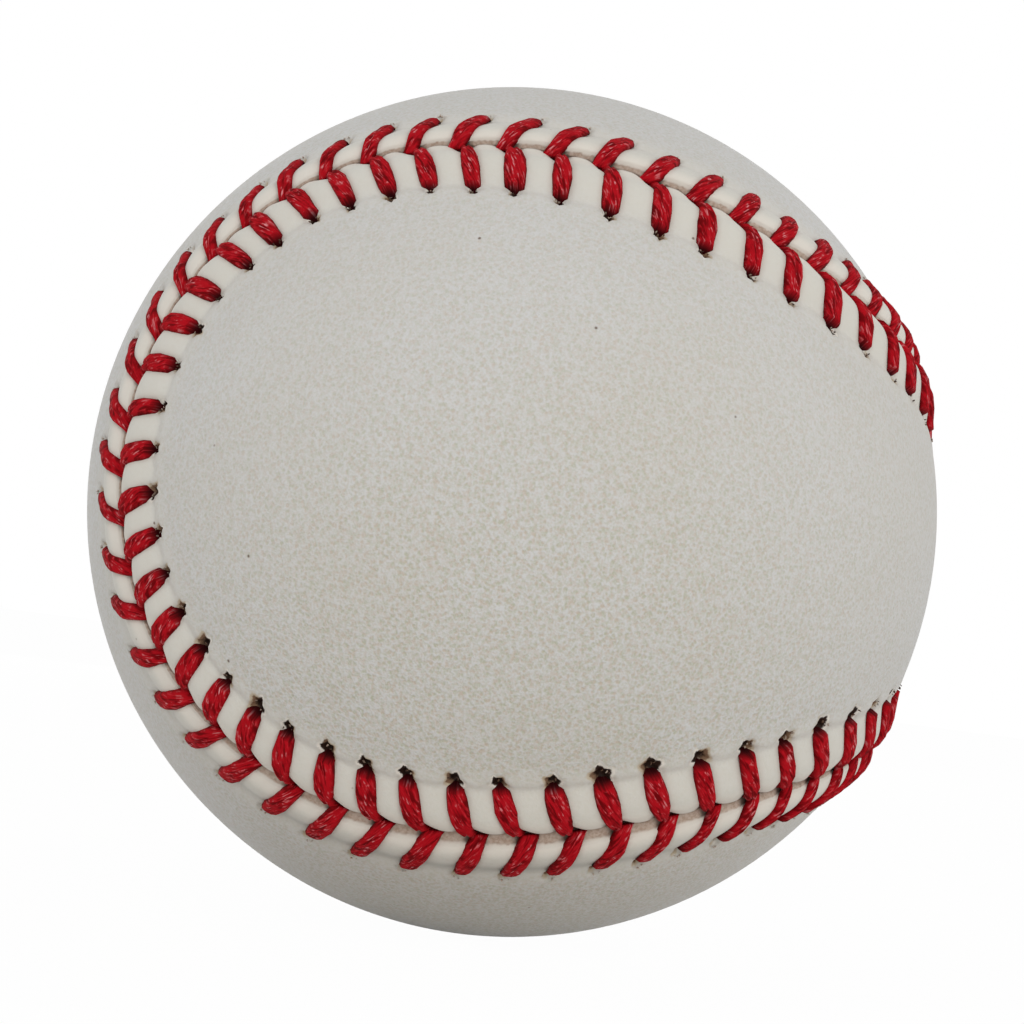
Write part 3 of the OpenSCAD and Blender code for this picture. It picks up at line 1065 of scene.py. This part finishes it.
def leather_finish():
    """Grain side, then stretched skin, dirt, painted highlight and painted shade, the cut edge and the
    holes; pores, lumps as bump.
    """
    m = Finish("white_leather")
    seam, hole, beside, arm, raw_and_shade = (
        m.value(n) for n in ("seam_gap", "hole_gap", "hole_side", "arm_gap", "raw_and_shade"))
    stretched = m.ramp(seam, *STRETCHED_BAND)
    base, pores, specks = grain_side(m, stretched)
    # Dirt and painted shade: a brown tint on the leather beside the thread near the seam.
    thread_dirt_and_shade = m.times(m.ramp(arm, 1.25, 0.7), m.ramp(hole, 1.0, 2.5), stretched)
    base = m.mix(m.times(thread_dirt_and_shade, 0.16), base, tone(150, 128, 108))
    # Painted highlight: a pale cream band along the leather's rounded rim.
    base = m.mix(m.ramp(seam, *RIM_HIGHLIGHT_BAND, 0.0, 0.5), base, tone(228, 221, 211))
    # Dirt and painted shade: dark brown at the leather's very edge in the seam.
    base = m.mix(m.ramp(seam, *EDGE_DIRT_AND_SHADE_BAND, 0.0, 0.85), base, tone(112, 92, 78))
    base = cut_side(m, base, raw_and_shade)
    # Painted shade: near-black where the thread goes down into the seam's crevice.
    crevice_shade = m.times(m.ramp(arm, 1.15, 0.5), m.ramp(seam, 0.9, 0.3))
    base = m.mix(m.times(crevice_shade, 0.85), base, tone(44, 26, 20))
    # Painted shade: grey in the crease behind the back panel's ridge.
    base = m.mix(m.times(m.value("painted_crease_shade"), 0.5), base, tone(148, 149, 142))
    base = torn_holes(m, base, hole, beside)
    m.set(Base_Color=base, Roughness=m.ramp(pores, 0.0, 1.0, 0.55, 0.75))
    m.set(Specular_IOR_Level=0.14)
    fine = m.noise(4.5, 2.0, 0.6)
    grain = m.math("SUBTRACT", m.times(fine, 0.45), m.math("ADD", pores, specks))
    low = m.bump(m.noise(0.35, 2.0), 0.13)
    m.set(Normal=m.bump(m.times(grain, m.ramp(seam, 3.0, 8.0, 0.65, 1.0)), 0.04, low))
    return m.material


leather = leather_finish()
print("leather:", len(leather.node_tree.nodes), "nodes")

# %% [markdown]
# ## Thread finish
# Waxed cotton thread is a deep matt red, with fine fibres along each ply. Painted shade makes it darker at
# its sides and where it goes into the leather, and its pale streaks are partly wax in its grooves and
# partly painted glints. The fibres follow the thread, so the pattern reads two stored lengths: how far
# along the thread, and how far across it.

# %% thread material
def thread_finish():
    """Plies and fibres are noise that is stretched along the thread and turned a little round it."""
    m = Finish("waxed_thread")
    run, across, side_share, end = (m.value(n) for n in ("run", "across", "side_share", "end_share"))
    where = m.add("ShaderNodeCombineXYZ")
    m.feed(where.inputs[0], m.math("ADD", across, m.times(run, 0.3)))
    m.feed(where.inputs[1], run)
    ply = m.noise(1.0, 1.0, 0.5, where.outputs[0], (2.3, 0.5, 1.0))
    fibre = m.noise(1.0, 2.0, 0.55, where.outputs[0], (6.0, 0.95, 1.0))
    lay = m.math("ADD", m.times(ply, 0.5), m.times(fibre, 0.5))
    red = m.mix(m.ramp(lay, 0.38, 0.54), tone(110, 0, 6), tone(175, 12, 26))
    red = m.mix(m.ramp(fibre, 0.55, 0.72, 0.0, 0.6), red, tone(196, 52, 60))
    groove = m.ramp(side_share, 0.5, 0.1, 0.5, 1.0)
    # Pale streaks: partly wax in the groove, partly painted glints.
    wax_and_glint = m.times(m.ramp(m.noise(1.2, 2.0, 0.6), 0.46, 0.6), m.ramp(fibre, 0.52, 0.7), groove)
    red = m.mix(m.times(wax_and_glint, 0.85), red, tone(222, 154, 158))
    # Painted shade: darker red at the thread's sides.
    red = m.mix(m.ramp(side_share, 0.72, 1.0, 0.0, 0.6), red, tone(96, 0, 6))
    # Painted shade: near-black where the thread goes into its hole.
    red = m.mix(m.ramp(end, 0.93, 0.99, 0.0, 0.95), red, tone(34, 2, 4))
    m.set(Base_Color=red, Roughness=m.ramp(wax_and_glint, 0.0, 1.0, 0.85, 0.65))
    m.set(Specular_IOR_Level=0.09, Normal=m.bump(lay, 0.16))
    return m.material


thread_red = thread_finish()
print("thread:", len(thread_red.node_tree.nodes), "nodes")

# %% [markdown]
# ## Finishes inside the ball
# Nobody sees the inside until the ball is taken apart, but each layer still gets what it is made of:
# yarn wound over and over, moulded rubber, ground cork in rubber, and dried cement.

# %% inner materials
YARN_STRETCHES = ((1.0, 0.12, 0.35), (0.15, 1.0, -0.3))


def yarn_finish(name, dark, light, strands_per_mm):
    """Wound yarn: bands of strands in two directions, the upper one chosen by large noise."""
    m = Finish(name)
    below, above = (m.noise(strands_per_mm, 1.0, 0.5, None, stretch) for stretch in YARN_STRETCHES)
    pick = m.ramp(m.noise(0.12, 1.0), 0.48, 0.52)
    strand = m.math("ADD", m.times(below, pick), m.times(above, m.math("SUBTRACT", 1.0, pick)))
    fuzz = m.noise(6.0, 4.0, 0.7)
    lit = m.ramp(m.math("ADD", strand, m.times(fuzz, 0.3)), 0.4, 0.85)
    m.set(Base_Color=m.mix(lit, dark, light))
    m.set(Roughness=0.92, Specular_IOR_Level=0.2, Sheen_Weight=0.25)
    m.set(Normal=m.bump(strand, 0.5, m.bump(fuzz, 0.06)))
    return m.material


def moulded_finish(name, dark, light, roughness, depth=0.03, lumps=1.5):
    """Moulded rubber, cork or cement: two close tones, lumps and a fine tooth."""
    m = Finish(name)
    lump = m.noise(lumps, 4.0, 0.6)
    m.set(Base_Color=m.mix(m.ramp(lump, 0.35, 0.65), dark, light))
    m.set(Roughness=m.ramp(lump, 0.3, 0.7, roughness, roughness - 0.1), Specular_IOR_Level=0.3)
    m.set(Normal=m.bump(lump, depth))
    return m.material


inner = {
    "cork": moulded_finish("composition_cork", tone(92, 62, 40), tone(170, 126, 84), 0.85, 0.12, 1.1),
    "black_rubber": moulded_finish("black_rubber", tone(24, 24, 25), tone(40, 40, 41), 0.6),
    "red_rubber": moulded_finish("red_rubber", tone(130, 34, 26), tone(160, 52, 40), 0.6),
    "cement": moulded_finish("dried_cement", tone(120, 98, 74), tone(168, 144, 110), 0.4, 0.05, 0.6),
    "grey_wool": yarn_finish("grey_wool_yarn", tone(88, 88, 92), tone(146, 146, 148), 1.1),
    "white_wool": yarn_finish("white_wool_yarn", tone(196, 190, 176), tone(232, 228, 216), 1.3),
    "cotton_yarn": yarn_finish("white_cotton_yarn", tone(206, 204, 196), tone(240, 238, 232), 2.6),
}
slot_of = {row["node"]: row["material_slot"] for row in frame["record"]["subparts"]}
for node, piece in frame["nodes"].items():
    if slot_of[node] in inner:
        piece.data.materials.clear()
        piece.data.materials.append(inner[slot_of[node]])
print("inner layers dressed:", sum(slot in inner for slot in slot_of.values()))

# %% [markdown]
# ## Putting the new pieces in place
# Each new piece says which solid it stands for, which body it rides on and which slot it is finished
# from. Nothing is moved: the meshes were made where the solids are.

# %% place the cover and the thread
new_pieces = [
    (panels[FRONT], "cover_panel_front", "leather", leather),
    (panels[BACK], "cover_panel_back", "leather", leather),
    (threads[FRONT], "stitches_front_panel", "waxed_thread", thread_red),
    (threads[BACK], "stitches_back_panel", "waxed_thread", thread_red),
]
body = next(iter(frame["bodies"]))
for piece, node, slot, material in new_pieces:
    piece.data.materials.append(material)
    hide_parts(node)
    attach(piece, body)
print("pieces riding on", body)

# %% [markdown]
# ## Studio
# The photograph's background is plain white and its light is soft and even, a little stronger from the
# camera's side. A pale world, a large warm lamp beside the camera and three weak ones on the other sides
# give that light, and the pale floor lights the ball's underside. Rays from the camera see the floor and
# the world nearly white, while the light on the ball stays at a plain level, and the floor keeps a soft
# shadow.

# %% floor, world and lamp
WHITE = (1.0, 1.0, 1.0, 1.0)
FLOOR_HALF = 4.0
FLOOR_COLOUR = (0.83, 0.815, 0.79, 1.0)
FLOOR_WHITE_SHARE = 0.98
WORLD_COLOUR = (0.975, 0.987, 1.0, 1.0)
WORLD_STRENGTH = 0.62
KEY_PLACE = (0.03, -0.69, 0.16)
KEY_WATTS = 2.0
FILL_PLACES = {"right": (0.7, 0.0, 0.02), "left": (-0.7, 0.0, 0.02), "behind": (0.0, 0.7, 0.1)}
FILL_WATTS = 0.66
LAMP_SIZE = 0.5
KEY_COLOUR = (1.0, 0.965, 0.915)


def white_to_camera(nodes, lit, white, share):
    """Mixes a share of plain white into a shader, for camera, mirror and glass rays alone."""
    white.inputs["Color"].default_value = WHITE
    rays = nodes.add("ShaderNodeLightPath").outputs
    seen = nodes.math("MAXIMUM", rays["Is Camera Ray"], rays["Is Glossy Ray"])
    seen = nodes.math("MAXIMUM", seen, rays["Is Transmission Ray"])
    mix = nodes.add("ShaderNodeMixShader")
    for socket, value in zip(mix.inputs, (nodes.times(seen, share), lit.outputs[0], white.outputs[0])):
        nodes.feed(socket, value)
    return mix.outputs[0]


def make_floor():
    """A flat square under the ball's lowest point."""
    low = -BALL_R * METRES_PER_MM
    mesh = bpy.data.meshes.new("floor")
    corners = [(x * FLOOR_HALF, y * FLOOR_HALF, low) for x, y in ((-1, -1), (1, -1), (1, 1), (-1, 1))]
    mesh.from_pydata(corners, [], [(0, 1, 2, 3)])
    floor = bpy.data.objects.new("floor", mesh)
    bpy.context.scene.collection.objects.link(floor)
    material = bpy.data.materials.new("pale_floor")
    nodes = Nodes(material)
    lit = nodes.add("ShaderNodeBsdfDiffuse")
    lit.inputs["Color"].default_value = FLOOR_COLOUR
    seen = white_to_camera(nodes, lit, nodes.add("ShaderNodeEmission"), FLOOR_WHITE_SHARE)
    nodes.feed(nodes.add("ShaderNodeOutputMaterial").inputs["Surface"], seen)
    mesh.materials.append(material)
    return floor


def make_world(strength):
    """Even light for the ball, and white where the camera sees past it."""
    world = bpy.data.worlds.new("studio")
    bpy.context.scene.world = world
    nodes = Nodes(world)
    lit = nodes.add("ShaderNodeBackground")
    lit.inputs["Color"].default_value = WORLD_COLOUR
    lit.inputs["Strength"].default_value = strength
    seen = white_to_camera(nodes, lit, nodes.add("ShaderNodeBackground"), 1.0)
    nodes.feed(nodes.add("ShaderNodeOutputWorld").inputs["Surface"], seen)


def make_lamp(name, place, size, watts, colour=WHITE[:3]):
    """A square soft lamp that faces the ball."""
    data = bpy.data.lights.new(name, "AREA")
    data.shape = "SQUARE"
    data.size = size
    data.energy = watts
    data.color = colour
    lamp = bpy.data.objects.new(name, data)
    back = unit(np.array(place))
    side = unit(np.cross([0.0, 0.0, 1.0], back))
    up = np.cross(back, side)
    lamp.matrix_world = axes_matrix(side, up, back, place)
    bpy.context.scene.collection.objects.link(lamp)
    return lamp


make_floor()
make_world(WORLD_STRENGTH)
make_lamp("key", KEY_PLACE, LAMP_SIZE, KEY_WATTS, KEY_COLOUR)
for name, place in FILL_PLACES.items():
    make_lamp(name, place, LAMP_SIZE, FILL_WATTS)
bpy.context.scene.view_settings.view_transform = "Standard"
print("studio ready")
